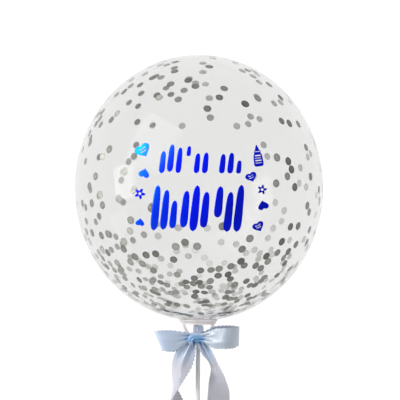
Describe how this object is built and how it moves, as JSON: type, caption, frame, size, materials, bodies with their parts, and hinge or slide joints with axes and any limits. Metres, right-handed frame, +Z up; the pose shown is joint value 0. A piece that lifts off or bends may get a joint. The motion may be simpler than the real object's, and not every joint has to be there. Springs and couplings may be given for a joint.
{
  "type": "confetti balloon on a stick",
  "caption": "Clear confetti balloon held by a cup on a white stick with a light-blue ribbon bow, lying on its side",
  "frame": {"origin": "middle of the balloon's flat spot, on the surface that the object lies on", "axes": "+Z up; the stick runs towards -Y and comes down to the surface at its far end, and +Y points to the crown's side; X is across"},
  "size_m": [0.2998, 0.7231, 0.2993],
  "materials": {
    "clear_film": "thin clear stretched plastic film, glossy",
    "clear_moulded_plastic": "clear moulded plastic, glossy",
    "white_stick_plastic": "white extruded plastic, satin",
    "light_blue_satin": "light-blue satin ribbon",
    "silver_confetti": "metallised film discs, silver",
    "blue_foil": "metallic blue foil stickers, from light blue to navy"
  },
  "bodies": {
    "root": {"balloon": "clear_film", "balloon_cup": "clear_moulded_plastic", "stick": "white_stick_plastic", "ribbon_bow": "light_blue_satin"}
  },
  "joints": []
}
